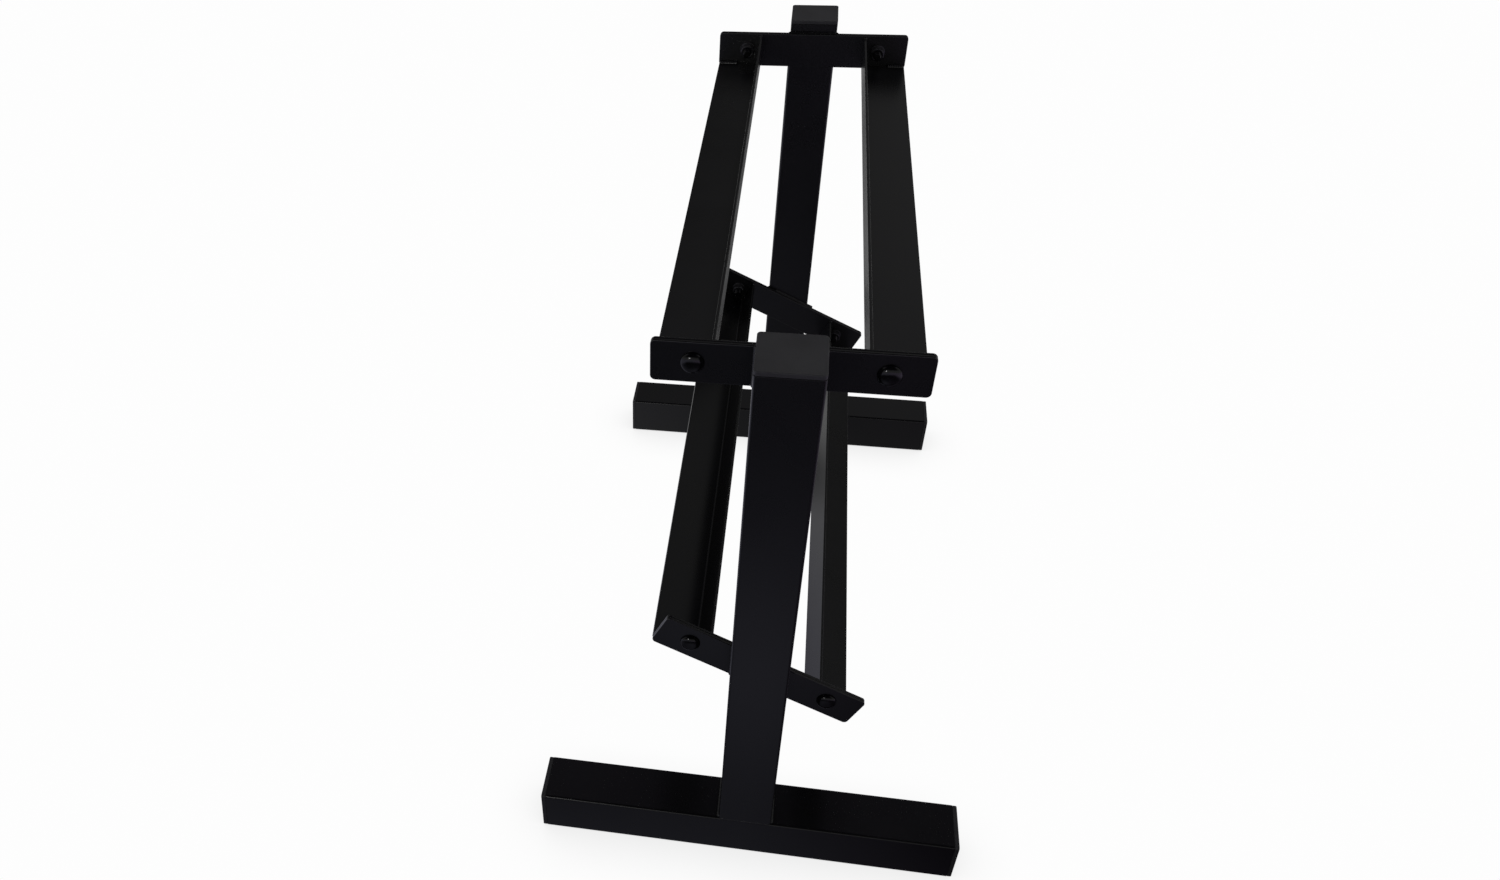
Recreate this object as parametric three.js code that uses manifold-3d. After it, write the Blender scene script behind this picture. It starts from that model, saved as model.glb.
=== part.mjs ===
// Two-tier dumbbell rack in black square tube and sheet steel.
//
// Frame: millimetres, +Z up, origin on the floor at the centre of the footprint.
// +X is the user's side (the lower tray slopes down towards it), the rails run along Y,
// and the left end frame, as the user sees it, stands at -Y.
//
// Each end frame is a post on a foot with two cross brackets welded to the post's inner face.
// Each tray is a pair of L-section rails between two end plates, and four bolts per tray
// clamp the end plates to the brackets.

import * as THREE from "three";
import { mergeVertices } from "three/addons/utils/BufferGeometryUtils.js";
import Module from "manifold-3d";

// ---------------------------------------------------------------- dimensions (mm)
const RACK_LENGTH = 720;      // over the outer faces of the two end frames
const RACK_HEIGHT = 575;      // floor to the top of the post caps
const FOOT_LENGTH = 404;      // foot over both end caps

const TUBE = 50;              // outside size of the square tube in posts and feet
const TUBE_WALL = 2;
const TUBE_R = 2.5;           // outside corner radius
const TUBE_INNER_R = 0.8;     // inside corner radius

const CAP_RIM = 4.5;          // thickness of a tube cap outside the tube
const CAP_EDGE = 1.5;         // rounding round a cap's outer face
const CAP_FACE_R = 1.2;       // corner radius of the flat face inside that rounding
const PLUG_WALL = 2;
const PLUG_DEPTH = 16;        // how far a cap's plug reaches into the tube
const PLUG_GAP = 0.4;         // clearance between the plug and the tube's inside
const PLUG_R = 1.2;           // outside corner radius
const PLUG_INNER_R = 0.6;     // inside corner radius
const PLUG_OVERLAP = 1;       // plug's reach into the cap's plate, to fuse the two

const BRACKET_LENGTH = 202;   // cross brackets and tray end plates share one outline
const BRACKET_HEIGHT = 35;
const BRACKET_R = 4;          // corner radius of that outline
const BRACKET_T = 3;          // cross bracket, welded to the post
const END_PLATE_T = 2.5;      // tray end plate, welded to the rails
const UPPER_Z = 544.5;        // centre height of the upper tray's brackets
const LOWER_Z = 213.5;        // centre height of the lower tray's brackets
const LOWER_TILT = 25.5;      // degrees, lower tray sloping down towards +X

const RAIL_WIDTH = 46;        // flat leg of the L, outward from the upright leg
const RAIL_HEIGHT = 32;       // upright leg, on the tray's inner side
const RAIL_T = 2.5;
const RAIL_BEND_R = 2;        // inside bend radius
const RAIL_OUTER = 100.5;     // tray centre line to the flat leg's free edge

const BOLT_X = 70;            // bolt axes from the post's centre line
const BOLT_D = 8;             // carriage bolt
const BOLT_LENGTH = 20;
const BOLT_TIP_CHAMFER = 0.8;
const BOLT_HEAD_D = 18;
const BOLT_HEAD_H = 4.5;
const BOLT_RIM = 0.6;         // straight edge of the head under its dome
const BOLT_NECK = 8;          // square neck across flats
const BOLT_NECK_H = 2.6;
const NECK_OVERLAP = 0.2;     // neck's reach into the head, to fuse the two
const NECK_HOLE = 8.8;        // square hole in the bracket
const ROUND_HOLE_D = 9;       // round hole in the tray end plate

const NUT_AF = 13;            // across flats
const NUT_H = 6.5;
const NUT_CHAMFER_H = 0.6;
const NUT_CHAMFER_RUN = 1.2;  // chamfer's radial width, which clears the hexagon's corners
const NUT_FACE_INSET = 0.1;   // from the flats in to the chamfer's edge on the face
const NUT_FACE_SKIN = 0.01;   // how far the chamfering solid passes the nut's faces
const WASHER_D = 16;
const WASHER_T = 1.6;
const BORE_D = 8.4;           // bore of nuts and washers, clear of the bolt

// places derived from the dimensions
const POST_Y = RACK_LENGTH / 2 - TUBE / 2;      // post and foot centre lines
const INNER_Y = RACK_LENGTH / 2 - TUBE;         // posts' inner faces
const BRACKET_Y = INNER_Y - BRACKET_T;          // brackets' inner faces
const RAIL_END_Y = BRACKET_Y - END_PLATE_T;     // rails' ends
const FOOT_TUBE = FOOT_LENGTH - 2 * CAP_RIM;
const POST_TUBE = RACK_HEIGHT - CAP_RIM - TUBE;

// curve divisions, each making two segments of an arc
const CORNER_DIVISIONS = 2;
const PLUG_DIVISIONS = 1;
const BEND_DIVISIONS = 3;
const NUT_BORE_DIVISIONS = 6;
const WASHER_DIVISIONS = 10;
// plain segment counts
const CAP_EDGE_SEGMENTS = 2;
const ROUND_HOLE_SEGMENTS = 16;
const TURNED_SEGMENTS = 24;   // round the axis of bolts and nut chamfers
const DOME_SEGMENTS = 5;      // from the crown of a bolt head to its rim

const QUARTER_TURN = Math.PI / 2;
const ENDS = [["left", -1], ["right", 1]];      // name, sign of y

// ---------------------------------------------------------------- finishes
const FINISHES = {
  powder_coat: { color: 0x0d0d0f, roughness: 0.38, metalness: 0.0 },
  tube_cap: { color: 0x161618, roughness: 0.6, metalness: 0.0 },
  black_fastener: { color: 0x0c0c0e, roughness: 0.3, metalness: 0.0 },
  zinc_fastener: { color: 0x3a3a3e, roughness: 0.45, metalness: 1.0 },
};

// ---------------------------------------------------------------- solid helpers
const MERGE_TOLERANCE = 1e-4;

const wasm = await Module();
wasm.setup();

// closed manifold solid from a three.js geometry
function solid(geometry) {
  const bare = geometry.index ? geometry.toNonIndexed() : geometry.clone();
  // normals and uvs differ across edges and would keep the vertices there apart
  bare.deleteAttribute("normal");
  bare.deleteAttribute("uv");
  const merged = mergeVertices(bare, MERGE_TOLERANCE);
  return new wasm.Manifold(
    new wasm.Mesh({
      numProp: 3,
      vertProperties: new Float32Array(merged.attributes.position.array),
      triVerts: new Uint32Array(merged.index.array),
    }),
  );
}

function geometryOf(manifold) {
  const { vertProperties, triVerts } = manifold.getMesh();
  const geometry = new THREE.BufferGeometry();
  const positions = new THREE.BufferAttribute(new Float32Array(vertProperties), 3);
  geometry.setAttribute("position", positions);
  geometry.setIndex(new THREE.BufferAttribute(new Uint32Array(triVerts), 1));
  geometry.computeVertexNormals();
  return geometry;
}

// rectangle with rounded corners, centred on the origin of its plane
function roundedRect(width, height, radius, Path = THREE.Shape) {
  const path = new Path();
  const x = width / 2;
  const y = height / 2;
  path.moveTo(-x + radius, -y);
  path.lineTo(x - radius, -y);
  path.absarc(x - radius, -y + radius, radius, -QUARTER_TURN, 0, false);
  path.lineTo(x, y - radius);
  path.absarc(x - radius, y - radius, radius, 0, QUARTER_TURN, false);
  path.lineTo(-x + radius, y);
  path.absarc(-x + radius, y - radius, radius, QUARTER_TURN, Math.PI, false);
  path.lineTo(-x, -y + radius);
  path.absarc(-x + radius, -y + radius, radius, Math.PI, 3 * QUARTER_TURN, false);
  return path;
}

// hollow square section with rounded corners
function squareRing(size, wall, outerRadius, innerRadius) {
  const ring = roundedRect(size, size, outerRadius);
  const inside = size - 2 * wall;
  ring.holes.push(roundedRect(inside, inside, innerRadius, THREE.Path));
  return ring;
}

function boreHole() {
  const hole = new THREE.Path();
  hole.absarc(0, 0, BORE_D / 2, 0, 2 * Math.PI, true);
  return hole;
}

// straight extrusion from z = 0 up to z = depth
function extrude(shape, depth, curveSegments = CORNER_DIVISIONS) {
  return new THREE.ExtrudeGeometry(shape, { depth, bevelEnabled: false, curveSegments, steps: 1 });
}

// profile of [radius, z] points turned about the Z axis
function turned(profile) {
  const points = profile.map(([radius, z]) => new THREE.Vector2(radius, z));
  return new THREE.LatheGeometry(points, TURNED_SEGMENTS).rotateX(QUARTER_TURN);
}

// ---------------------------------------------------------------- piece geometry
// square tube along +Z from z = 0
function squareTube(length) {
  return extrude(squareRing(TUBE, TUBE_WALL, TUBE_R, TUBE_INNER_R), length);
}

// tube cap: rounded plate from z = 0 to z = CAP_RIM, hollow open plug below it
function tubeCap() {
  const face = TUBE - 2 * CAP_EDGE;
  const plate = new THREE.ExtrudeGeometry(roundedRect(face, face, CAP_FACE_R), {
    depth: CAP_RIM,
    bevelEnabled: true,
    bevelThickness: CAP_EDGE,
    bevelSize: CAP_EDGE,
    bevelSegments: CAP_EDGE_SEGMENTS,
    curveSegments: CORNER_DIVISIONS,
  });
  plate.translate(0, 0, -CAP_EDGE);

  // takes off the plate's lower rounding, leaving a flat face on the tube's end
  const below = new THREE.BoxGeometry(2 * TUBE, 2 * TUBE, TUBE);
  below.translate(0, 0, -TUBE / 2);

  const plugSize = TUBE - 2 * TUBE_WALL - 2 * PLUG_GAP;
  const ring = squareRing(plugSize, PLUG_WALL, PLUG_R, PLUG_INNER_R);
  const plug = extrude(ring, PLUG_DEPTH + PLUG_OVERLAP, PLUG_DIVISIONS);
  plug.translate(0, 0, -PLUG_DEPTH);
  return geometryOf(solid(plate).subtract(solid(below)).add(solid(plug)));
}

// plate in the XZ plane, thickness along +Y from y = 0, with one hole through it per bolt;
// makeCutter(depth) gives the hole's shape, centred on the origin along Y
function crossPlate(thickness, makeCutter) {
  const blank = extrude(roundedRect(BRACKET_LENGTH, BRACKET_HEIGHT, BRACKET_R), thickness);
  blank.rotateX(QUARTER_TURN);       // shape's y becomes z, extrusion runs towards -Y
  blank.translate(0, thickness, 0);
  let plate = solid(blank);
  for (const x of [-BOLT_X, BOLT_X]) {
    const cutter = makeCutter(4 * thickness).translate(x, 0, 0);
    plate = plate.subtract(solid(cutter));
  }
  return geometryOf(plate);
}

function crossBracket() {
  return crossPlate(BRACKET_T, (depth) => new THREE.BoxGeometry(NECK_HOLE, depth, NECK_HOLE));
}

function endPlate() {
  const radius = ROUND_HOLE_D / 2;
  return crossPlate(
    END_PLATE_T,
    (depth) => new THREE.CylinderGeometry(radius, radius, depth, ROUND_HOLE_SEGMENTS),
  );
}

// L-section rail centred along Y; upright leg at the inner side, flat leg running out to
// +X * side, bottom face at the brackets' bottom edge
function lRail(side) {
  const length = 2 * RAIL_END_Y;
  const inner = RAIL_OUTER - RAIL_WIDTH;
  const bottom = -BRACKET_HEIGHT / 2;
  const top = bottom + RAIL_HEIGHT;
  const outerBendR = RAIL_BEND_R + RAIL_T;
  const bendX = inner + outerBendR;
  const bendZ = bottom + outerBendR;

  const section = new THREE.Shape();
  section.moveTo(bendX, bottom);
  section.lineTo(RAIL_OUTER, bottom);
  section.lineTo(RAIL_OUTER, bottom + RAIL_T);
  section.lineTo(bendX, bottom + RAIL_T);
  section.absarc(bendX, bendZ, RAIL_BEND_R, 3 * QUARTER_TURN, Math.PI, true);
  section.lineTo(inner + RAIL_T, top);
  section.lineTo(inner, top);
  section.lineTo(inner, bendZ);
  section.absarc(bendX, bendZ, outerBendR, Math.PI, 3 * QUARTER_TURN, false);

  const rail = extrude(section, length, BEND_DIVISIONS);
  rail.rotateX(QUARTER_TURN);
  rail.translate(0, length / 2, 0);
  if (side < 0) rail.rotateZ(Math.PI);  // puts the flat leg on the other side
  return rail;
}

// carriage bolt along +Z, domed head below z = 0, square neck just above it
function carriageBolt() {
  const headR = BOLT_HEAD_D / 2;
  const shankR = BOLT_D / 2;
  const domeH = BOLT_HEAD_H - BOLT_RIM;
  const sphereR = (headR * headR + domeH * domeH) / (2 * domeH);
  const rimAngle = Math.asin(headR / sphereR);

  const profile = [[0, -BOLT_HEAD_H]];
  for (let i = 1; i <= DOME_SEGMENTS; i++) {
    const angle = (rimAngle * i) / DOME_SEGMENTS;
    profile.push([sphereR * Math.sin(angle), -BOLT_HEAD_H + sphereR * (1 - Math.cos(angle))]);
  }
  profile.push(
    [headR, 0],
    [shankR, 0],
    [shankR, BOLT_LENGTH - BOLT_TIP_CHAMFER],
    [shankR - BOLT_TIP_CHAMFER, BOLT_LENGTH],
    [0, BOLT_LENGTH],
  );

  const neck = new THREE.BoxGeometry(BOLT_NECK, BOLT_NECK, BOLT_NECK_H + NECK_OVERLAP);
  neck.translate(0, 0, (BOLT_NECK_H - NECK_OVERLAP) / 2);
  return geometryOf(solid(turned(profile)).add(solid(neck)));
}

// hexagon nut from z = 0 to z = NUT_H, corners chamfered at both faces
function hexNut() {
  const cornerR = NUT_AF / Math.sqrt(3);
  const corners = Array.from({ length: 6 }, (_, i) => {
    const angle = (i * Math.PI) / 3;
    return new THREE.Vector2(cornerR * Math.cos(angle), cornerR * Math.sin(angle));
  });
  const hexagon = new THREE.Shape(corners);
  hexagon.holes.push(boreHole());

  const faceR = NUT_AF / 2 - NUT_FACE_INSET;
  const wideR = faceR + NUT_CHAMFER_RUN;
  const chamferLimit = turned([
    [0, -NUT_FACE_SKIN],
    [faceR, -NUT_FACE_SKIN],
    [wideR, NUT_CHAMFER_H],
    [wideR, NUT_H - NUT_CHAMFER_H],
    [faceR, NUT_H + NUT_FACE_SKIN],
    [0, NUT_H + NUT_FACE_SKIN],
  ]);
  const blank = extrude(hexagon, NUT_H, NUT_BORE_DIVISIONS);
  return geometryOf(solid(blank).intersect(solid(chamferLimit)));
}

// flat washer from z = 0 to z = WASHER_T
function flatWasher() {
  const disc = new THREE.Shape();
  disc.absarc(0, 0, WASHER_D / 2, 0, 2 * Math.PI, false);
  disc.holes.push(boreHole());
  return extrude(disc, WASHER_T, WASHER_DIVISIONS);
}

// ---------------------------------------------------------------- assembly
function addGroup(parent, name, x, y, z) {
  const child = new THREE.Group();
  child.name = name;
  child.position.set(x, y, z);
  parent.add(child);
  return child;
}

function addMesh(parent, name, geometry, finish, x = 0, y = 0, z = 0) {
  const piece = new THREE.Mesh(geometry, new THREE.MeshStandardMaterial(FINISHES[finish]));
  piece.name = name;
  piece.position.set(x, y, z);
  parent.add(piece);
}

// foot along X with the post on its middle, and a cap in each open tube end
function addEndFrame(rack, end, endSign) {
  const frame = addGroup(rack, `${end}_end_frame`, 0, endSign * POST_Y, 0);
  const axisZ = TUBE / 2;
  const footEnd = FOOT_TUBE / 2;
  const footTube = squareTube(FOOT_TUBE).rotateY(QUARTER_TURN);
  const frontCap = tubeCap().rotateY(QUARTER_TURN);
  const rearCap = tubeCap().rotateY(-QUARTER_TURN);

  addMesh(frame, `${end}_foot_tube`, footTube, "powder_coat", -footEnd, 0, axisZ);
  addMesh(frame, `${end}_post`, squareTube(POST_TUBE), "powder_coat", 0, 0, TUBE);
  addMesh(frame, `${end}_foot_front_cap`, frontCap, "tube_cap", footEnd, 0, axisZ);
  addMesh(frame, `${end}_foot_rear_cap`, rearCap, "tube_cap", -footEnd, 0, axisZ);
  addMesh(frame, `${end}_post_cap`, tubeCap(), "tube_cap", 0, 0, RACK_HEIGHT - CAP_RIM);
}

// bolt from the bracket's outer face, washer and nut on the end plate's inner face
function addFastener(tray, place, x, endSign) {
  const turn = endSign * QUARTER_TURN;  // points the fastener's +Z axis inboard
  const bolt = carriageBolt().rotateX(turn);
  const washer = flatWasher().rotateX(turn);
  const nut = hexNut().rotateX(turn);
  const nutY = endSign * (RAIL_END_Y - WASHER_T);

  addMesh(tray, `bolt_${place}`, bolt, "black_fastener", x, endSign * INNER_Y);
  addMesh(tray, `washer_${place}`, washer, "zinc_fastener", x, endSign * RAIL_END_Y);
  addMesh(tray, `nut_${place}`, nut, "zinc_fastener", x, nutY);
}

// tray with its brackets and fasteners, in a group that carries its height and slope
function addTray(rack, tier, height, tilt) {
  const tray = addGroup(rack, `${tier}_tray`, 0, 0, height);
  tray.rotation.y = THREE.MathUtils.degToRad(tilt);
  addMesh(tray, `${tier}_front_rail`, lRail(1), "powder_coat");
  addMesh(tray, `${tier}_rear_rail`, lRail(-1), "powder_coat");

  for (const [end, endSign] of ENDS) {
    // both plates are placed by their face towards -Y
    const bracketY = endSign < 0 ? -INNER_Y : BRACKET_Y;
    const plateY = endSign < 0 ? -BRACKET_Y : RAIL_END_Y;
    addMesh(tray, `${end}_${tier}_bracket`, crossBracket(), "powder_coat", 0, bracketY);
    addMesh(tray, `${tier}_tray_${end}_plate`, endPlate(), "powder_coat", 0, plateY);
    addFastener(tray, `${end}_${tier}_front`, BOLT_X, endSign);
    addFastener(tray, `${end}_${tier}_rear`, -BOLT_X, endSign);
  }
}

const rack = new THREE.Group();
rack.name = "dumbbell_rack";
for (const [end, endSign] of ENDS) addEndFrame(rack, end, endSign);
addTray(rack, "upper", UPPER_Z, 0);
addTray(rack, "lower", LOWER_Z, LOWER_TILT);

export default rack;
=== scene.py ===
"""Two-tier dumbbell rack: the looks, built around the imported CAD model.

Every CAD node is replaced by a finer piece of the same size at the same place: tubes with rolled corners, plates and
rails with softened edges, moulded caps, threaded bolts, chamfered nuts, and the weld beads that hold it together.
Lengths in this file are millimetres in the rack's own frame until put() turns them into metres.
"""

import math
import random

import bpy
import numpy as np
from mathutils import Matrix, Vector
from mathutils.geometry import tessellate_polygon


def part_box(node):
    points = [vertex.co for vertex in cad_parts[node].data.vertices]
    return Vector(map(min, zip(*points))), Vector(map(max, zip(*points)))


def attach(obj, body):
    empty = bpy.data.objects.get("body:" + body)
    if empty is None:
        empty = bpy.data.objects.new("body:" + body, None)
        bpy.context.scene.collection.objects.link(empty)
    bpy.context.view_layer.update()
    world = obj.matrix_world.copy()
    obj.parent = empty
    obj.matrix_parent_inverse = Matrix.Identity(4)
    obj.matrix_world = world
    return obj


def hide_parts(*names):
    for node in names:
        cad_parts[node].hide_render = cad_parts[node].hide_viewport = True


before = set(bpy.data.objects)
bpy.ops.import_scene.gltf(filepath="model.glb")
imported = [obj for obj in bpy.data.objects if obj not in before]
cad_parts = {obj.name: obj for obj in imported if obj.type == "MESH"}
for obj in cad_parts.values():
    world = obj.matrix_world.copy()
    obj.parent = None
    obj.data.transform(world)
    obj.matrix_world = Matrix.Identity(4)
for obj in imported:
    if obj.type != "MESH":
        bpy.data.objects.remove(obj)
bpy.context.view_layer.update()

PI = math.pi
ENDS = (("left", -1.0), ("right", 1.0))
TIERS = ("upper", "lower")
SIDES = (("front", 1.0), ("rear", -1.0))


# ------------------------------------------------------------------------------------------------ the CAD's numbers
def box(node):
    lo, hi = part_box(node)
    return np.array(lo) * 1000, np.array(hi) * 1000


TUBE = 50.0
TUBE_R = 2.5
WALL = 2.0
PLATE_L, PLATE_H, PLATE_R = 202.0, 35.0, 4.0
RAIL_OUT, RAIL_W, RAIL_H, RAIL_T, BEND_R = 100.5, 46.0, 32.0, 2.5, 2.0
BOLT_U = 70.0
TILT = {"upper": 0.0, "lower": math.radians(25.5)}
lo, hi = box("left_upper_bracket")
UPPER_Z = (lo[2] + hi[2]) / 2
lo, hi = box("left_lower_bracket")
LOWER_Z = (lo[2] + hi[2]) / 2
TIER_Z = {"upper": UPPER_Z, "lower": LOWER_Z}
OUTER_Y = box("right_foot_tube")[1][1]  # outer faces of the end frames
INNER_Y = box("right_foot_tube")[0][1]  # posts' inner faces, where the brackets are welded
BRACKET_Y = box("right_upper_bracket")[0][1]
RAIL_END_Y = box("upper_tray_right_plate")[0][1]
FOOT_X = box("left_foot_tube")[1][0]  # end of the foot's tube
POST_Z = box("left_post")[1][2]
TOP_Z = box("left_post_cap")[1][2]


# ------------------------------------------------------------------------------------------------ mesh building
class Body:
    """Closed shells gathered into one mesh."""

    def __init__(self):
        self.v, self.f, self.n = [], [], 0

    def add(self, verts, faces):
        verts = np.asarray(verts, float)
        # faces are wound one way throughout a shell, so the sign of its volume says whether they point out
        vol = 0.0
        for f in faces:
            a = verts[f[0]]
            for i in range(1, len(f) - 1):
                vol += np.dot(a, np.cross(verts[f[i]], verts[f[i + 1]]))
        flip = vol < 0
        self.v.append(verts)
        self.f += [tuple((reversed([i + self.n for i in f]) if flip else [i + self.n for i in f])) for f in faces]
        self.n += len(verts)

    def moved(self, matrix):
        m = np.array(matrix)
        self.v = [v @ m[:3, :3].T + m[:3, 3] for v in self.v]
        if np.linalg.det(m[:3, :3]) < 0:
            self.f = [tuple(reversed(f)) for f in self.f]
        return self


def rings(loops_list, closed_path=False, cap_start=True, cap_end=True):
    """A shell from a list of rings with the same number of points, with fans closing its ends."""
    n = len(loops_list[0])
    v = np.concatenate([np.asarray(r, float) for r in loops_list])
    f = []
    m = len(loops_list)
    for i in range(m if closed_path else m - 1):
        a, b = i * n, ((i + 1) % m) * n
        for j in range(n):
            k = (j + 1) % n
            f.append((a + j, a + k, b + k, b + j))
    if not closed_path:
        if cap_start:
            c = len(v)
            v = np.vstack([v, np.mean(v[:n], axis=0)])
            f += [(c, (j + 1) % n, j) for j in range(n)]
        if cap_end:
            c = len(v)
            base = (m - 1) * n
            v = np.vstack([v, np.mean(v[base : base + n], axis=0)])
            f += [(c, base + j, base + (j + 1) % n) for j in range(n)]
    return v, f


def rrect(w, h, r, n=8):
    """Rounded rectangle, anticlockwise: points and outward normals."""
    p, q = [], []
    for sx, sy, a0 in ((1, -1, -90), (1, 1, 0), (-1, 1, 90), (-1, -1, 180)):
        cx, cy = sx * (w / 2 - r), sy * (h / 2 - r)
        for i in range(n + 1):
            a = math.radians(a0 + 90 * i / n)
            p.append((cx + r * math.cos(a), cy + r * math.sin(a)))
            q.append((math.cos(a), math.sin(a)))
    return np.array(p), np.array(q)


def hole_loop(p, q):
    """A loop turned into a hole: clockwise, with its normals pointing into the hole."""
    return p[::-1].copy(), -q[::-1].copy()


def circle(cx, cy, r, n=32):
    a = np.arange(n) * 2 * PI / n
    q = np.stack([np.cos(a), np.sin(a)], 1)
    return q * r + (cx, cy), q


def prism(loops, z0, z1, e, k=3):
    """Loops (outer first, then holes) extruded from z0 to z1, with every end edge rounded to radius e."""
    st = []
    for i in range(k + 1):
        a = PI / 2 * i / k
        st.append((z0 + e * (1 - math.cos(a)), e * (1 - math.sin(a))))
    st += [(z0 + z1 - z, d) for z, d in reversed(st)]
    verts, faces, offset = [], [], 0
    ends = []
    for p, q in loops:
        n = len(p)
        for z, d in st:
            ring = p - q * d
            verts.append(np.column_stack([ring, np.full(n, z)]))
        for i in range(len(st) - 1):
            a, b = offset + i * n, offset + (i + 1) * n
            for j in range(n):
                kk = (j + 1) % n
                faces.append((a + j, a + kk, b + kk, b + j))
        ends.append((offset, offset + (len(st) - 1) * n, n))
        offset += len(st) * n
    v = np.concatenate(verts)
    polys, index = [], []
    for a, _, n in ends:
        polys.append([Vector((v[a + j][0], v[a + j][1], 0)) for j in range(n)])
        index += [(a + j) for j in range(n)]
    tri = tessellate_polygon(polys)
    shift = {}
    for a, b, n in ends:
        for j in range(n):
            shift[a + j] = b + j
    for t in tri:
        t = [index[i] for i in t]
        x = np.cross(v[t[1]] - v[t[0]], v[t[2]] - v[t[0]])[2]
        if abs(x) < 1e-12:
            continue
        if x > 0:
            t = t[::-1]
        faces.append(tuple(t))  # first end looks down
        faces.append(tuple(shift[i] for i in reversed(t)))
    return v, faces


def put(name, body, material, slot, *nodes):
    """A Body becomes a Blender object in metres, riding on the rack, with normals that keep flats flat."""
    v = np.concatenate(body.v) / 1000
    me = bpy.data.meshes.new(name)
    me.from_pydata(v.tolist(), [], body.f)
    me.validate(clean_customdata=False)
    me.update()
    me.shade_smooth()
    areas = np.zeros(len(me.polygons))
    me.polygons.foreach_get("area", areas)
    normals = np.zeros(len(me.polygons) * 3)
    me.polygons.foreach_get("normal", normals)
    normals = normals.reshape(-1, 3) * areas[:, None]
    total = np.zeros((len(me.vertices), 3))
    counts = np.zeros(len(me.polygons), int)
    me.polygons.foreach_get("loop_total", counts)
    corner = np.zeros(len(me.loops), int)
    me.loops.foreach_get("vertex_index", corner)
    np.add.at(total, corner, np.repeat(normals, counts, axis=0))
    length = np.linalg.norm(total, axis=1, keepdims=True)
    total = np.where(length > 0, total / np.maximum(length, 1e-20), (0, 0, 1))
    me.normals_split_custom_set_from_vertices(total.tolist())
    me.materials.append(material)
    ob = bpy.data.objects.new(name, me)
    bpy.context.scene.collection.objects.link(ob)
    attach(ob, "root")
    if nodes:
        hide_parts(*nodes)
    return ob


def frame_of(tier):
    """Tray coordinates (u across, y along, v up from the bracket's centre line) to the rack's frame."""
    c, s = math.cos(TILT[tier]), math.sin(TILT[tier])
    return np.array([[c, 0, s, 0], [0, 1, 0, 0], [-s, 0, c, TIER_Z[tier]], [0, 0, 0, 1]])


def axes(x, y, z, origin=(0, 0, 0)):
    """Matrix whose columns are the images of the local axes."""
    m = np.eye(4)
    m[:3, 0], m[:3, 1], m[:3, 2], m[:3, 3] = x, y, z, origin
    return m


# ------------------------------------------------------------------------------------------------ materials
def material(name):
    m = bpy.data.materials.new(name)
    m.use_nodes = True
    t = m.node_tree
    t.nodes.clear()
    out = t.nodes.new("ShaderNodeOutputMaterial")
    bsdf = t.nodes.new("ShaderNodeBsdfPrincipled")
    t.links.new(bsdf.outputs[0], out.inputs[0])
    return m, t, bsdf


def coords(t):
    return t.nodes.new("ShaderNodeTexCoord").outputs["Object"]


def noise(t, vec, scale, detail=2.0, rough=0.5, w=None):
    n = t.nodes.new("ShaderNodeTexNoise")
    n.inputs["Scale"].default_value = scale
    n.inputs["Detail"].default_value = detail
    n.inputs["Roughness"].default_value = rough
    t.links.new(vec, n.inputs["Vector"])
    return n.outputs[0]


def ramp(t, fac, a, b, va, vb):
    r = t.nodes.new("ShaderNodeMapRange")
    r.inputs["From Min"].default_value = a
    r.inputs["From Max"].default_value = b
    r.inputs["To Min"].default_value = va
    r.inputs["To Max"].default_value = vb
    t.links.new(fac, r.inputs["Value"])
    return r.outputs["Result"]


def mix_rgb(t, fac, a, b):
    m = t.nodes.new("ShaderNodeMix")
    m.data_type = "RGBA"
    t.links.new(fac, m.inputs["Factor"])
    for socket, value in ((m.inputs["A"], a), (m.inputs["B"], b)):
        if isinstance(value, tuple):
            socket.default_value = (*value, 1.0)
        else:
            t.links.new(value, socket)
    return m.outputs["Result"]


def bump(t, height, distance, strength=1.0, normal=None):
    b = t.nodes.new("ShaderNodeBump")
    b.inputs["Distance"].default_value = distance
    b.inputs["Strength"].default_value = strength
    t.links.new(height, b.inputs["Height"])
    if normal is not None:
        t.links.new(normal, b.inputs["Normal"])
    return b.outputs["Normal"]


def powder_coat():
    """Semi-gloss black powder coat: orange peel, a fine grain on top, uneven gloss and a little settled dust."""
    m, t, b = material("black_powder_coat")
    v = coords(t)
    cloud = noise(t, v, 14.0, 4.0, 0.6)
    peel = noise(t, v, 520.0, 2.0, 0.5)
    grain = noise(t, v, 2600.0, 2.0, 0.6)
    base = mix_rgb(t, ramp(t, cloud, 0.3, 0.7, 0.0, 1.0), (0.0014, 0.0014, 0.0016), (0.0024, 0.0024, 0.0027))
    # dust: sparse specks, in scattered patches
    speck = t.nodes.new("ShaderNodeTexVoronoi")
    speck.feature = "F1"
    speck.inputs["Scale"].default_value = 260.0
    t.links.new(v, speck.inputs["Vector"])
    dot = ramp(t, speck.outputs["Distance"], 0.045, 0.085, 1.0, 0.0)
    chance = ramp(t, noise(t, v, 60.0, 1.0), 0.56, 0.62, 0.0, 1.0)
    both = t.nodes.new("ShaderNodeMath")
    both.operation = "MULTIPLY"
    t.links.new(dot, both.inputs[0])
    t.links.new(chance, both.inputs[1])
    base = mix_rgb(t, both.outputs[0], base, (0.012, 0.012, 0.0125))
    t.links.new(base, b.inputs["Base Color"])
    t.links.new(ramp(t, cloud, 0.25, 0.75, 0.25, 0.31), b.inputs["Roughness"])
    b.inputs["IOR"].default_value = 1.5
    n = bump(t, peel, 0.000006)
    n = bump(t, grain, 0.0000012, normal=n)
    t.links.new(n, b.inputs["Normal"])
    return m


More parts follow.
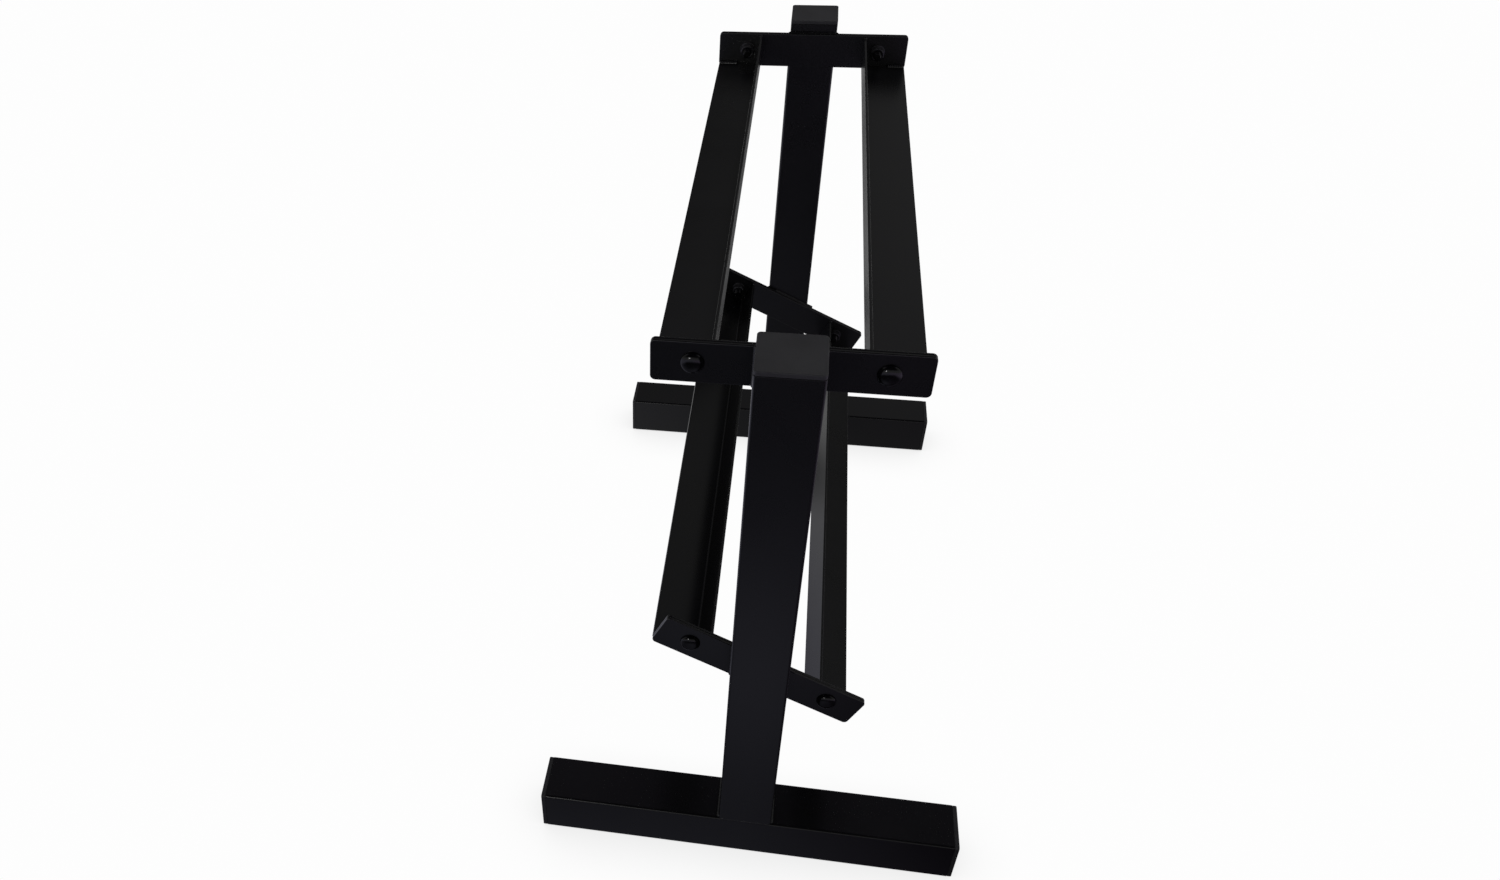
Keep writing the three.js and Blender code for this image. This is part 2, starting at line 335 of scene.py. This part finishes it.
def cap_plastic():
    """Moulded polyethylene: grey-black, matt, with a fine spark-eroded grain and soft handling marks."""
    m, t, b = material("cap_plastic")
    v = coords(t)
    cloud = noise(t, v, 30.0, 3.0, 0.55)
    grain = noise(t, v, 1500.0, 3.0, 0.65)
    base = mix_rgb(t, ramp(t, cloud, 0.3, 0.7, 0.0, 1.0), (0.017, 0.017, 0.018), (0.023, 0.023, 0.0245))
    t.links.new(base, b.inputs["Base Color"])
    t.links.new(ramp(t, grain, 0.3, 0.7, 0.50, 0.62), b.inputs["Roughness"])
    b.inputs["IOR"].default_value = 1.5
    t.links.new(bump(t, grain, 0.00005), b.inputs["Normal"])
    return m


def black_fastener():
    """Painted bolt: glossier and smoother than the powder coat, slightly uneven."""
    m, t, b = material("black_bolt")
    v = coords(t)
    cloud = noise(t, v, 220.0, 3.0, 0.6)
    base = mix_rgb(t, ramp(t, cloud, 0.35, 0.65, 0.0, 1.0), (0.0012, 0.0012, 0.0014), (0.0024, 0.0024, 0.0027))
    t.links.new(base, b.inputs["Base Color"])
    t.links.new(ramp(t, cloud, 0.3, 0.7, 0.13, 0.19), b.inputs["Roughness"])
    b.inputs["IOR"].default_value = 1.36
    t.links.new(bump(t, noise(t, v, 900.0, 2.0), 0.000012), b.inputs["Normal"])
    return m


def dark_zinc():
    """Black-passivated zinc: dark metal with a faint cloudy passivation and fine tool marks."""
    m, t, b = material("dark_zinc")
    v = coords(t)
    cloud = noise(t, v, 260.0, 3.0, 0.6)
    base = mix_rgb(t, ramp(t, cloud, 0.35, 0.65, 0.0, 1.0), (0.028, 0.028, 0.031), (0.052, 0.051, 0.055))
    t.links.new(base, b.inputs["Base Color"])
    b.inputs["Metallic"].default_value = 0.85
    t.links.new(ramp(t, cloud, 0.3, 0.7, 0.26, 0.40), b.inputs["Roughness"])
    t.links.new(bump(t, noise(t, v, 1800.0, 2.0), 0.00002), b.inputs["Normal"])
    return m


COAT = powder_coat()
PLASTIC = cap_plastic()
BOLT = black_fastener()
ZINC = dark_zinc()


# ------------------------------------------------------------------------------------------------ tubes and caps
def tube_body(length):
    """Square tube along +Z: rolled corners outside, tight corners inside, sawn ends with the burr taken off."""
    b = Body()
    outer = rrect(TUBE, TUBE, TUBE_R, 8)
    inner = hole_loop(*rrect(TUBE - 2 * WALL, TUBE - 2 * WALL, 0.9, 8))
    b.add(*prism([outer, inner], 0, length, 0.35, 3))
    return b


def rr_ring(w, r, z, n=8):
    p, _ = rrect(w, w, max(r, 0.05), n)
    return np.column_stack([p, np.full(len(p), z)])


def cap_body():
    """Moulded tube cap, outer face up at z = 4.5: rounded flange with a softly crowned face, finned hollow plug below."""
    b = Body()
    st = []  # (width, corner radius, z) from the plug's inside, over its rim, out under the flange, up and in
    inner, outer = 41.2, 45.2
    st += [(2, 0.8, 1.6), (inner - 1.0, 0.6, 1.6), (inner, 0.5, 1.2), (inner, 0.5, -15.6), (inner + 0.5, 0.6, -16.0)]
    st += [(outer - 1.6, 1.0, -16.0), (outer - 0.8, 1.2, -15.4), (outer - 0.5, 1.2, -14.4)]
    for z in (-12.4, -8.6, -4.8):  # three soft fins that grip the tube
        st += [(outer - 0.4, 1.2, z - 0.75), (outer + 0.5, 1.4, z - 0.1), (outer + 0.5, 1.4, z + 0.15), (outer - 0.4, 1.2, z + 0.5)]
    st += [(outer - 0.4, 1.2, -0.25), (outer, 1.4, 0.0)]
    R = 3.0
    e = 0.8
    for i in range(5):  # lower edge of the flange
        a = PI / 2 * i / 4
        st.append((TUBE - 2 * e + 2 * e * math.sin(a), R - e + e * math.sin(a), e * (1 - math.cos(a))))
    e, top = 0.9, 4.28
    for i in range(9):  # upper edge
        a = PI / 2 * i / 8
        st.append((TUBE - 2 * e * (1 - math.cos(a)), R - e * (1 - math.cos(a)), top - e + e * math.sin(a)))
    w0 = st[-1][0]
    for s in (0.93, 0.82, 0.68, 0.5, 0.3, 0.12):  # crown
        st.append((w0 * s, max(0.3, (R - 0.9) * s + 2.0 * (1 - s)), top + 0.22 * (1 - s * s) ** 1.0))
    b.add(*rings([rr_ring(*s) for s in st]))
    return b


X, Y, Z = np.eye(3)
for end, s in ENDS:
    yc = s * (INNER_Y + TUBE / 2)
    foot = tube_body(2 * FOOT_X).moved(axes(Y, Z, X, (-FOOT_X, yc, TUBE / 2)))
    put(f"{end}_foot_steel", foot, COAT, "powder_coat", f"{end}_foot_tube")
    post = tube_body(POST_Z - TUBE).moved(axes(X, Y, Z, (0, yc, TUBE)))
    put(f"{end}_post_steel", post, COAT, "powder_coat", f"{end}_post")
    for side, sx in SIDES:
        cap = cap_body().moved(axes(Y, Z * sx, X * sx, (sx * FOOT_X, yc, TUBE / 2)))
        put(f"{end}_foot_{side}_cap_moulding", cap, PLASTIC, "tube_cap", f"{end}_foot_{side}_cap")
    cap = cap_body().moved(axes(X, Y, Z, (0, yc, POST_Z)))
    put(f"{end}_post_cap_moulding", cap, PLASTIC, "tube_cap", f"{end}_post_cap")


# ------------------------------------------------------------------------------------------------ plates and rails
def plate_body(thickness, square):
    """Flat bar with rounded corners in the local XY plane, from z = 0 to z = thickness, with its two bolt holes."""
    loops = [rrect(PLATE_L, PLATE_H, PLATE_R, 8)]
    for sx in (-1, 1):
        if square:
            p, q = rrect(8.8, 8.8, 0.8, 6)
            loops.append(hole_loop(p + (sx * BOLT_U, 0), q))
        else:
            loops.append(hole_loop(*circle(sx * BOLT_U, 0, 4.5, 32)))
    b = Body()
    b.add(*prism(loops, 0, thickness, 0.8, 5))
    return b


def arc(cx, cy, r, a0, a1, n, inward=False):
    a = np.radians(np.linspace(a0, a1, n + 1))
    d = np.stack([np.cos(a), np.sin(a)], 1)
    return d * r + (cx, cy), (-d if inward else d)


def rail_loop():
    """L section, anticlockwise, with both bends and rounded leg edges."""
    xi, xo = RAIL_OUT - RAIL_W, RAIL_OUT
    z0, z1 = -PLATE_H / 2, -PLATE_H / 2 + RAIL_H
    t, r, c = RAIL_T, BEND_R, 0.6
    R = r + t
    parts = [
        arc(xo - c, z0 + c, c, -90, 0, 4),
        arc(xo - c, z0 + t - c, c, 0, 90, 4),
        arc(xi + R, z0 + R, r, 270, 180, 8, inward=True),
        arc(xi + t - c, z1 - c, c, 0, 90, 4),
        arc(xi + c, z1 - c, c, 90, 180, 4),
        arc(xi + R, z0 + R, R, 180, 270, 10),
    ]
    return np.concatenate([p for p, _ in parts]), np.concatenate([q for _, q in parts])


for tier in TIERS:
    F = frame_of(tier)
    for end, s in ENDS:
        start = -INNER_Y if s < 0 else BRACKET_Y
        bracket = plate_body(INNER_Y - BRACKET_Y, True).moved(F @ axes(X, Z, Y, (0, start, 0)))
        put(f"{end}_{tier}_bracket_steel", bracket, COAT, "powder_coat", f"{end}_{tier}_bracket")
        t = BRACKET_Y - RAIL_END_Y
        start = -BRACKET_Y if s < 0 else RAIL_END_Y
        plate = plate_body(t, False).moved(F @ axes(X, Z, Y, (0, start, 0)))
        put(f"{tier}_tray_{end}_plate_steel", plate, COAT, "powder_coat", f"{tier}_tray_{end}_plate")
    for side, sx in SIDES:
        b = Body()
        b.add(*prism([rail_loop()], -RAIL_END_Y, RAIL_END_Y, 0.3, 2))
        b.moved(F @ axes(X * sx, Z, Y))
        put(f"{tier}_{side}_rail_steel", b, COAT, "powder_coat", f"{tier}_{side}_rail")


# ------------------------------------------------------------------------------------------------ fasteners
def bolt_body():
    """8 mm carriage bolt along +Z: domed head below z = 0, square neck, rolled thread, chamfered end at z = 20."""
    n = 48
    ang = np.arange(n) * 2 * PI / n
    ca, sa = np.cos(ang), np.sin(ang)

    def ring(r, z):
        r = np.broadcast_to(r, (n,))
        return np.column_stack([r * ca, r * sa, np.full(n, z)])

    out = []
    hr, hh, rim = 9.0, 4.5, 0.7
    for i in range(1, 19):  # low crown running into a round shoulder
        a = PI / 2 * i / 18
        out.append(ring(hr * math.sin(a) ** (2 / 2.4), -rim - (hh - rim) * max(0.0, math.cos(a)) ** 1.2))
    for r, z in ((hr, -0.30), (hr - 0.09, -0.09), (hr - 0.3, 0.0)):
        out.append(ring(r, z))
    square = np.minimum(4.0 / np.maximum(np.abs(ca), np.abs(sa)), 5.15)
    for w, z in ((square + 0.3, 0.0), (square + 0.05, 0.25), (square, 0.5), (square, 2.2), (square - 0.25, 2.6)):
        out.append(ring(w, z))
    blank, root, crest, pitch, tip = 3.62, 3.32, 3.97, 1.25, 20.0
    out.append(ring(blank, 3.3))
    z = 4.0
    while z < tip - 0.05:
        phase = (z / pitch - ang / (2 * PI)) % 1.0
        tri = np.clip(1.35 * (1 - np.abs(2 * phase - 1)) - 0.17, 0, 1)
        r = root + (crest - root) * tri
        fade = min(1.0, (z - 4.0) / 1.2)
        r = blank + (r - blank) * fade
        r = np.minimum(r, 3.1 + (tip - z) * 0.9)
        out.append(ring(r, z))
        z += pitch / 8
    out.append(ring(3.1, tip - 0.02))
    out.append(ring(2.9, tip))
    b = Body()
    b.add(*rings(out))
    return b


def nut_body():
    """8 mm hexagon nut, 13 across flats, along +Z from z = 0 to z = 6.5, chamfered, with a countersunk bore."""
    ang = []
    for i in range(6):
        for d in (-28, -20, -10, 0, 10, 20, 28):
            ang.append(math.radians(60 * i + 30 + d))
    ang = np.array(sorted(a % (2 * PI) for a in ang))
    ca, sa = np.cos(ang), np.sin(ang)
    local = (np.degrees(ang) % 60) - 30
    hexr = 6.5 / np.cos(np.radians(local))
    h = 6.5

    def ring(r, z):
        r = np.broadcast_to(r, ang.shape)
        return np.column_stack([r * ca, r * sa, np.full(len(ang), z)])

    def outer(z):
        d = min(z, h - z)
        return np.minimum(hexr, 6.18 + d * 1.73)

    out = [ring(4.1, 0.55), ring(4.6, 0.0), ring(6.0, 0.0)]
    for z in (0.04, 0.2, 0.35, 0.5, 0.65, 0.8, 1.2, h - 1.2, h - 0.8, h - 0.65, h - 0.5, h - 0.35, h - 0.2, h - 0.04):
        out.append(ring(outer(z), z))
    out += [ring(6.0, h), ring(4.6, h), ring(4.1, h - 0.55)]
    b = Body()
    b.add(*rings(out, closed_path=True))
    return b


def washer_body():
    """Stamped washer, 16 by 1.6, along +Z from z = 0: rolled edge above, sharper edge below."""
    n = 48
    ang = np.arange(n) * 2 * PI / n
    ca, sa = np.cos(ang), np.sin(ang)
    prof = [(4.2, 0.25), (4.35, 0.0), (7.85, 0.0), (8.0, 0.15), (8.0, 1.0), (7.9, 1.32), (7.68, 1.53), (7.35, 1.6), (4.6, 1.6), (4.3, 1.5), (4.2, 1.3)]
    b = Body()
    b.add(*rings([np.column_stack([r * ca, r * sa, np.full(n, z)]) for r, z in prof], closed_path=True))
    return b


turn = random.Random(7)
for tier in TIERS:
    F = frame_of(tier)
    for end, s in ENDS:
        for side, sx in SIDES:
            tail = f"{end}_{tier}_{side}"
            inboard = -s * Y
            m = axes(X, np.cross(inboard, X), inboard, (sx * BOLT_U, s * INNER_Y, 0))
            put(f"carriage_bolt_{tail}", bolt_body().moved(F @ m), BOLT, "black_fastener", f"bolt_{tail}")
            a = math.radians(turn.uniform(0, 60))
            c, d = math.cos(a), math.sin(a)
            spin = np.array([[c, -d, 0, 0], [d, c, 0, 0], [0, 0, 1, 0], [0, 0, 0, 1.0]])
            m = axes(X, np.cross(inboard, X), inboard, (sx * BOLT_U, s * RAIL_END_Y, 0))
            put(f"flat_washer_{tail}", washer_body().moved(F @ m @ spin), ZINC, "dark_zinc", f"washer_{tail}")
            m = axes(X, np.cross(inboard, X), inboard, (sx * BOLT_U, s * (RAIL_END_Y - 1.6), 0))
            put(f"hex_nut_{tail}", nut_body().moved(F @ m @ spin), ZINC, "dark_zinc", f"nut_{tail}")


# ------------------------------------------------------------------------------------------------ welds
def bead(start, stop, n1, n2, leg, seed, pitch=1.7, root=0.6, bulge=0.22):
    """Fillet weld along a straight root line. n1 and n2 lie along the two surfaces, away from the root.
    The face carries the curved ripples that a torch leaves, softened by the coat over them."""
    rnd = random.Random(seed)
    start, stop, n1, n2 = (np.array(x, float) for x in (start, stop, n1, n2))
    length = np.linalg.norm(stop - start)
    along = (stop - start) / length
    steps = max(12, int(length / 0.22))
    wob = [(rnd.uniform(0.5, 1.0), rnd.uniform(5, 14), rnd.uniform(0, 2 * PI)) for _ in range(3)]
    m = 9
    out = []
    phase0 = rnd.uniform(0, 2 * PI)
    drift = 0.0
    for i in range(steps + 1):
        x = length * i / steps
        edge = min(x, length - x)
        grow = math.sqrt(max(0.0, 1 - (1 - min(1.0, edge / (0.8 * leg))) ** 2))
        grow = 0.12 + 0.88 * grow
        slow = sum(a * math.sin(2 * PI * x / w + p) for a, w, p in wob) / 3
        drift += 0.15 * rnd.uniform(-1, 1)
        ring = [start + along * x - root * n1 - root * n2 * 0.2, start + along * x + (leg * grow + 0.05) * n1 - root * n2]
        for j in range(m):
            q = j / (m - 1)
            lag = 2.6 * (2 * q - 1) ** 2
            rip = math.sin(2 * PI * x / pitch + phase0 + drift + lag)
            rip = (rip - 0.35 * abs(rip)) * 0.055 * leg
            size = leg * grow * (1 + 0.05 * slow)
            out_by = (bulge * leg * math.sin(PI * q) + rip * math.sin(PI * min(max(q, 0.08), 0.92))) * grow
            a = size * (1 - q) + out_by * 0.7071
            b = size * q + out_by * 0.7071
            ring.append(start + along * x + a * n1 + b * n2)
        ring.append(start + along * x - root * n1 + (leg * grow + 0.05) * n2)
        out.append(ring)
    return rings(out)


def seam(start, stop, outward, up, r, seed, pitch=1.9):
    """Butt weld in the groove between two flush faces: a thin, slightly sunken rippled line."""
    rnd = random.Random(seed)
    start, stop, outward, up = (np.array(x, float) for x in (start, stop, outward, up))
    length = np.linalg.norm(stop - start)
    along = (stop - start) / length
    steps = max(12, int(length / 0.3))
    p0 = rnd.uniform(0, 2 * PI)
    out = []
    for i in range(steps + 1):
        x = length * i / steps
        edge = min(x, length - x)
        grow = 0.25 + 0.75 * math.sqrt(max(0.0, 1 - (1 - min(1.0, edge / 2.0)) ** 2))
        rip = 0.05 * math.sin(2 * PI * x / pitch + p0) + 0.06 * math.sin(2 * PI * x / 7.3 + p0 * 2)
        rr = r * grow * (1 + rip)
        ring = []
        for j in range(12):
            a = 2 * PI * j / 12
            ring.append(start + along * x + outward * rr * math.cos(a) * 0.8 + up * rr * math.sin(a))
        out.append(ring)
    return rings(out)


seed = 100
for end, s in ENDS:
    b = Body()
    y0, y1 = s * (INNER_Y + 2.2), s * (OUTER_Y - 1.6)
    for sx in (-1, 1):
        seed += 1
        b.add(*bead((sx * 24.9, y0, 49.9), (sx * 24.9, y1, 49.9), (sx, 0, 0), (0, 0, 1), 2.6, seed))
    for y, o in ((s * OUTER_Y, s), (s * INNER_Y, -s)):
        seed += 1
        b.add(*seam((-23.6, y - o * 0.95, 48.95), (23.6, y - o * 0.95, 48.95), (0, o, 0), (0, 0, 1), 1.05, seed))
    put(f"{end}_post_to_foot_weld", b, COAT, "powder_coat")
    for tier in TIERS:
        b = Body()
        t = TILT[tier]
        for sx in (-1, 1):
            seed += 1
            zc = TIER_Z[tier] - sx * 26.0 * math.tan(t)
            half = PLATE_H / 2 / math.cos(t) + 0.7
            b.add(*bead((sx * 24.8, s * (INNER_Y + 0.1), zc - half), (sx * 24.8, s * (INNER_Y + 0.1), zc + half), (sx, 0, 0), (0, s, 0), 2.4, seed, root=0.9))
        c, q = math.cos(t), math.sin(t)
        up = np.array((q, 0, c))
        mid = np.array((0, s * (INNER_Y + 0.05), TIER_Z[tier])) + up * (PLATE_H / 2 - 0.05)
        run = np.array((c, 0, -q)) * (24.0 / c)
        b.add(*bead(mid - run, mid + run, (0, -s, 0), up, 1.7, seed + 300, root=1.0, bulge=0.1))
        put(f"{end}_{tier}_bracket_weld", b, COAT, "powder_coat")
for tier in TIERS:
    F = frame_of(tier)
    for end, s in ENDS:
        b = Body()
        for side, sx in SIDES:
            seed += 2
            y = s * (RAIL_END_Y + 0.1)
            v = -PLATE_H / 2 + RAIL_T - 0.1
            length = 17.0 + (seed % 5)
            b.add(*bead((sx * 100.2, y, v), (sx * (100.2 - length), y, v), (0, -s, 0), (0, 0, 1), 2.7, seed, pitch=2.0, bulge=0.3))
            v = -PLATE_H / 2 + RAIL_H - 0.15
            b.add(*bead((sx * 54.0, y, v), (sx * 57.8, y, v), (0, -s, 0), (0, 0, 1), 1.9, seed + 1, pitch=2.0, bulge=0.3))
        put(f"{tier}_tray_{end}_rail_welds", b.moved(F), COAT, "powder_coat")


# ------------------------------------------------------------------------------------------------ stage
# The black steel mirrors the room, so the room is what shapes it. Two tables say how bright the room is (in
# thousandths of white) as the steel sees it: the floor by place, and the walls and ceiling by direction. The camera
# itself sees a pale, even floor and backdrop, with a soft shadow painted onto the floor close around the rack.
FLOOR_X = (-0.9, -0.45, -0.21, 0.0, 0.21, 0.45, 0.9)
FLOOR_Y = (-1.6, -0.925, -0.625, -0.415, -0.215, 0.1, 0.55, 1.2, 2.2)
FLOOR_GLOW = (
    (15, 15, 15, 35, 15, 15, 15),
    (93, 67, 51, 80, 78, 45, 38),
    (239, 168, 140, 246, 69, 51, 55),
    (500, 274, 77, 95, 15, 53, 68),
    (500, 377, 203, 130, 78, 85, 91),
    (552, 563, 272, 97, 129, 126, 124),
    (623, 642, 448, 281, 214, 178, 160),
    (609, 580, 467, 380, 272, 211, 178),
    (584, 532, 451, 368, 285, 224, 182),
)
SKY_TURN = (0, 6, 21, 49, 90, 135, 180, 225, 270, 311, 339, 354, 360)  # degrees from +Y towards +X
SKY_RISE = (5, 13.5, 20, 26, 32.5, 40.5, 52.5, 75)
SKY_GLOW = (
    (49, 55, 17, 19, 21, 15, 15, 15, 19, 32, 21, 43, 49),
    (41, 68, 27, 20, 27, 17, 15, 15, 17, 26, 15, 15, 41),
    (71, 127, 89, 40, 44, 26, 15, 15, 19, 28, 22, 15, 71),
    (68, 121, 163, 155, 82, 37, 15, 15, 26, 42, 49, 15, 68),
    (114, 182, 176, 159, 88, 39, 15, 16, 36, 64, 90, 46, 114),
    (214, 189, 119, 108, 67, 31, 15, 17, 45, 85, 151, 240, 214),
    (101, 100, 38, 56, 43, 20, 15, 16, 43, 73, 76, 102, 101),
    (15, 15, 15, 15, 15, 15, 15, 15, 15, 15, 15, 15, 15),
)


def table(rows, xs, ys, x, y):
    """Value at (x, y) between the rows and columns of a table, held at its edges."""
    rows = np.array(rows, float) / 1000
    across = np.array([np.interp(x, xs, row) for row in rows])
    return float(np.interp(y, ys, across))


def glow_material(name, seen):
    """Shows the mesh's own glow colours to everything but the camera. When seen, the camera gets a pale glow with a
    painted contact shadow, darker where the rack stands close, taken from an ambient-occlusion lookup.
    """
    m = bpy.data.materials.new(name)
    m.use_nodes = True
    t = m.node_tree
    t.nodes.clear()
    out = t.nodes.new("ShaderNodeOutputMaterial")
    attribute = t.nodes.new("ShaderNodeAttribute")
    attribute.attribute_name = "glow"
    thrown = t.nodes.new("ShaderNodeEmission")
    t.links.new(attribute.outputs["Color"], thrown.inputs["Color"])
    if seen:
        # painted shadow: the glow the camera sees is dimmed by ambient occlusion near the rack's feet
        ao = t.nodes.new("ShaderNodeAmbientOcclusion")
        ao.samples = 12
        ao.inputs["Distance"].default_value = 0.07
        painted_floor_shadow = ramp(t, ao.outputs["AO"], 0.1, 0.95, 0.74, 0.985)
        show = t.nodes.new("ShaderNodeEmission")
        t.links.new(painted_floor_shadow, show.inputs["Strength"])
        path = t.nodes.new("ShaderNodeLightPath")
        mix = t.nodes.new("ShaderNodeMixShader")
        t.links.new(path.outputs["Is Camera Ray"], mix.inputs[0])
        t.links.new(thrown.outputs[0], mix.inputs[1])
        t.links.new(show.outputs[0], mix.inputs[2])
        t.links.new(mix.outputs[0], out.inputs[0])
    else:
        t.links.new(thrown.outputs[0], out.inputs[0])
    return m


def glow_mesh(name, columns, rows, point, colour, seen):
    """A grid of points with a colour at each one, kept on the stage."""
    v, f, c = [], [], []
    n = len(columns)
    for y in rows:
        for x in columns:
            v.append(point(x, y))
            c += [*colour(x, y), 1.0]
    for j in range(len(rows) - 1):
        for i in range(n - 1):
            f.append((j * n + i, j * n + i + 1, (j + 1) * n + i + 1, (j + 1) * n + i))
    me = bpy.data.meshes.new(name)
    me.from_pydata(v, [], f)
    me.color_attributes.new("glow", "FLOAT_COLOR", "POINT").data.foreach_set("color", c)
    me.materials.append(glow_material(name, seen))
    ob = bpy.data.objects.new(name, me)
    bpy.context.scene.collection.objects.link(ob)
    return ob


def ease(x, a, b):
    x = min(1.0, max(0.0, (x - a) / (b - a)))
    return x * x * (3 - 2 * x)


def floor_colour(x, y):
    g = table(FLOOR_GLOW, FLOOR_X, FLOOR_Y, x, y)
    far = max(ease(abs(x), 0.6, 1.3), ease(-y, 1.7, 2.6), ease(y, 1.9, 3.0))  # no face mirrors this to the camera
    g += (0.6 - g) * far
    near = ease(y, 0.6, -0.3)  # the near floor is cooler, and faintly violet on the right
    violet = near * ease(x, 0.0, 0.25)
    return g * (1 + 0.17 * violet), g, g * (1 + 0.26 * near + 0.14 * violet)


def sky_colour(turn, rise):
    g = table(SKY_GLOW, SKY_TURN, SKY_RISE, turn, rise)
    low = ease(abs(turn - 180), 135, 105) * ease(rise, 26, 12)  # nor the low walls beside and behind it
    side = ease(abs(abs(turn - 180) - 90), 45, 25) * ease(rise, 62, 45)
    g += (0.5 - g) * max(low, 0.7 * side)
    violet = ease(rise, 35, 60)
    return g * (1 + 0.12 * violet), g, g * (1 + 0.34 * violet)


def span(a, b, n):
    return [a + (b - a) * i / (n - 1) for i in range(n)]


columns = [-30.0, -8.0, -3.0, -1.5] + span(-1.2, 1.2, 49) + [1.5, 3.0, 8.0, 30.0]
rows = [-30.0, -8.0, -3.0, -2.2] + span(-1.9, 2.5, 89) + [3.5, 8.0, 30.0]
glow_mesh("studio_floor", columns, rows, lambda x, y: (x, y, -0.0005), floor_colour, True)


def dome_point(turn, rise):
    a, b = math.radians(turn), math.radians(rise)
    return 28 * math.cos(b) * math.sin(a), 28 * math.cos(b) * math.cos(a), 28 * math.sin(b)


dome = glow_mesh("studio_walls", span(0, 360, 49), span(0, 90, 19), dome_point, sky_colour, False)
dome.visible_camera = False
dome.visible_shadow = False

world = bpy.data.worlds.new("studio")
bpy.context.scene.world = world
world.use_nodes = True
t = world.node_tree
t.nodes.clear()
out = t.nodes.new("ShaderNodeOutputWorld")
dim = t.nodes.new("ShaderNodeBackground")
dim.inputs["Color"].default_value = (0.08, 0.08, 0.085, 1)
white = t.nodes.new("ShaderNodeBackground")
white.inputs["Color"].default_value = (0.985, 0.985, 0.985, 1)
path = t.nodes.new("ShaderNodeLightPath")
mix = t.nodes.new("ShaderNodeMixShader")
t.links.new(path.outputs["Is Camera Ray"], mix.inputs[0])
t.links.new(dim.outputs[0], mix.inputs[1])
t.links.new(white.outputs[0], mix.inputs[2])
t.links.new(mix.outputs[0], out.inputs[0])


def softbox(name, where, look, w, h, power, mirrored=True, shaded=True):
    """Area light the camera can't see. It shows in the gloss, or lights the matt colours, or both."""
    d = bpy.data.lights.new(name, "AREA")
    d.shape, d.size, d.size_y, d.energy = "RECTANGLE", w, h, power
    ob = bpy.data.objects.new(name, d)
    ob.location = where
    ob.rotation_euler = (Vector(look) - Vector(where)).to_track_quat("-Z", "Y").to_euler()
    ob.visible_camera = False
    ob.visible_glossy = mirrored
    ob.visible_diffuse = shaded
    bpy.context.scene.collection.objects.link(ob)
    return ob


softbox("window_left_of_camera", (-0.7, -2.4, 0.95), (0, -0.2, 0.4), 0.13, 0.13, 3.4, shaded=False)
softbox("overhead_scrim", (0.1, 0.3, 2.4), (0, 0, 0.3), 1.2, 1.2, 27.0, mirrored=False)

# ------------------------------------------------------------------------------------------------ camera
yaw, pitch, roll = (math.radians(a) for a in (-12.47481, 42.16033, 3.33928))
fwd = Vector((math.sin(yaw) * math.cos(pitch), math.cos(yaw) * math.cos(pitch), -math.sin(pitch)))
right = Vector((math.cos(yaw), -math.sin(yaw), 0))
down = fwd.cross(right)
r1 = math.cos(roll) * right + math.sin(roll) * down
d1 = -math.sin(roll) * right + math.cos(roll) * down
cam_data = bpy.data.cameras.new("camera")
cam = bpy.data.objects.new("camera", cam_data)
bpy.context.scene.collection.objects.link(cam)
place = Vector((-0.0127840, -1.0227035, 1.0303470))
cam.matrix_world = Matrix(
    (
        (r1.x, -d1.x, -fwd.x, place.x),
        (r1.y, -d1.y, -fwd.y, place.y),
        (r1.z, -d1.z, -fwd.z, place.z),
        (0, 0, 0, 1),
    )
)
cam_data.sensor_width = 36.0
cam_data.lens = 1169.93388 / 1500 * 36.0
cam_data.clip_start, cam_data.clip_end = 0.01, 100.0
bpy.context.scene.camera = cam
# The picture is a crop, so its optical centre is off the middle: the lens is shifted by that much. Any other view
# of the rack moves the camera, and the shift then goes back to nothing, so that the rack stays in the middle.


mark = bpy.data.objects.new("camera_place", None)
mark.location = place
bpy.context.scene.collection.objects.link(mark)


def by_view(path_name, value):
    """Drives a lens shift by how far the camera is from its own place: the full value there, nothing elsewhere."""
    curve = cam_data.driver_add(path_name)
    curve.driver.type = "AVERAGE"
    var = curve.driver.variables.new()
    var.name = "moved"
    var.type = "LOC_DIFF"
    var.targets[0].id, var.targets[1].id = cam, mark
    while curve.modifiers:
        curve.modifiers.remove(curve.modifiers[0])
    for moved, v in ((0.0, value), (0.02, value), (0.06, 0.0), (9.0, 0.0)):
        curve.keyframe_points.insert(moved, v).interpolation = "LINEAR"
    curve.extrapolation = "CONSTANT"


by_view("shift_x", (750.0 - 566.78369) / 1500)
by_view("shift_y", (528.52260 - 440.0) / 1500)

scene = bpy.context.scene
scene.view_settings.view_transform = "Standard"
scene.view_settings.look = "None"
